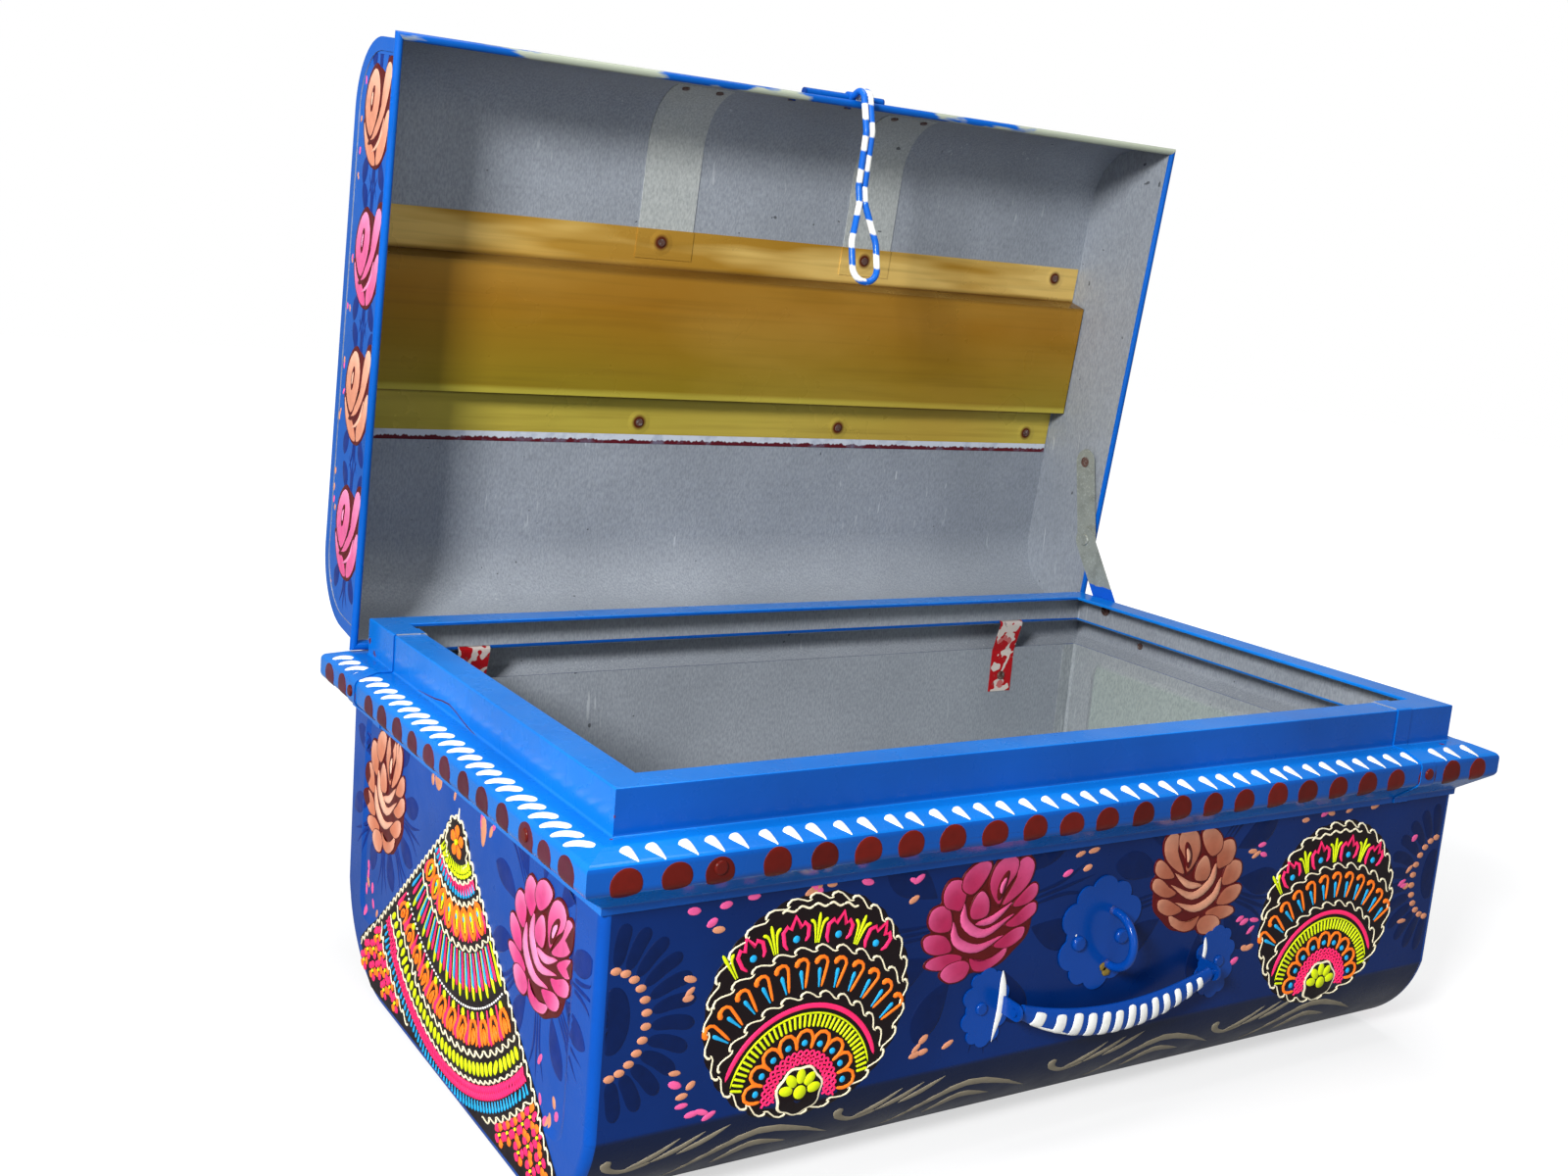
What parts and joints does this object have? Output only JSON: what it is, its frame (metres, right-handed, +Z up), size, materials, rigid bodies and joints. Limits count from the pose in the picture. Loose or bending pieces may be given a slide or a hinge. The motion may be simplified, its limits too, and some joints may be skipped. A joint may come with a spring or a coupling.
{
  "type": "steel storage trunk",
  "caption": "Painted sheet-steel trunk with a rolled rim, a domed hinged lid held by a folding stay, a wire hasp over a staple, and a drop handle.",
  "frame": {"origin": "centre of the flat bottom", "axes": "+X along the length, to the right seen from the front; +Y to the hinged back; +Z up"},
  "size_m": [0.6484, 0.4687, 0.5985],
  "materials": {
    "body_paint": "gloss",
    "end_paint": "gloss",
    "rim_paint": "gloss",
    "lid_paint": "gloss",
    "gold_paint": "satin",
    "strip_paint": "matte",
    "sheet": "satin",
    "wire": "satin",
    "fitting_paint": "gloss",
    "tin_strap": "satin"
  },
  "bodies": {
    "trunk": {"body_wrap": "body_paint", "body_end_left": "end_paint", "body_end_right": "end_paint", "rim_strip_front_left": "rim_paint", "rim_strip_back_right": "rim_paint", "rim_corner_cleat": "sheet", "rim_rivets": "sheet", "staple_plate": "fitting_paint", "staple": "wire", "staple_plate_rivets": "sheet", "handle_plate_left": "fitting_paint", "handle_plate_right": "fitting_paint", "handle_plate_rivets": "sheet", "hinge_strap_left": "tin_strap", "hinge_strap_right": "tin_strap", "hinge_strap_rivets": "sheet", "stay_pivot_rivet": "sheet"},
    "lid": {"lid_wrap": "lid_paint", "lid_end_left": "lid_paint", "lid_end_right": "lid_paint", "lid_edge_wire": "wire", "lid_channel": "gold_paint", "channel_backing_strip": "strip_paint", "channel_rivets": "sheet", "lid_stiffener_left": "sheet", "lid_stiffener_right": "sheet", "stiffener_rivets": "sheet", "hasp_bracket": "lid_paint", "hasp_bracket_rivets": "sheet", "stay_anchor_rivet": "sheet"},
    "handle": {"handle_bail": "fitting_paint"},
    "hasp_pin": {"hasp_pin": "wire"},
    "hasp": {"hasp": "fitting_paint"},
    "stay_lower": {"stay_lower_link": "sheet"},
    "stay_upper": {"stay_upper_link": "sheet"}
  },
  "joints": [
    {"name": "lid_hinge", "type": "hinge", "parent": "trunk", "child": "lid", "pos_m": [0, 0.1879, 0.2145], "axis": [1, 0, 0], "range_deg": [0, 83.3]},
    {"name": "stay_lower_pivot", "type": "hinge", "parent": "trunk", "child": "stay_lower", "pos_m": [0.3, 0.1467, 0.2257], "axis": [1, 0, 0], "range_deg": [0, 68.5]},
    {"name": "stay_upper_pivot", "type": "hinge", "parent": "lid", "child": "stay_upper", "pos_m": [0.3017, 0.19521, 0.34001], "axis": [1, 0, 0], "range_deg": [0, 59]},
    {"name": "hasp_pin_turn", "type": "hinge", "parent": "lid", "child": "hasp_pin", "pos_m": [0.015, 0.1531, 0.59212], "axis": [1, 0, 0], "range_deg": [-84.6, 0]},
    {"name": "hasp_swing", "type": "hinge", "parent": "hasp_pin", "child": "hasp", "pos_m": [0.015, 0.1531, 0.59212], "axis": [1, 0, 0], "range_deg": [-50, 16]},
    {"name": "handle_swing", "type": "hinge", "parent": "trunk", "child": "handle", "pos_m": [0.01625, -0.1985, 0.091], "axis": [-1, 0, 0], "range_deg": [0, 90]}
  ],
  "couplings": [
    {"joint": "stay_lower_pivot", "follows": "lid_hinge", "ratio": 0.82169},
    {"joint": "stay_upper_pivot", "follows": "lid_hinge", "ratio": 0.70794},
    {"joint": "hasp_pin_turn", "follows": "lid_hinge", "ratio": -1.0144}
  ]
}
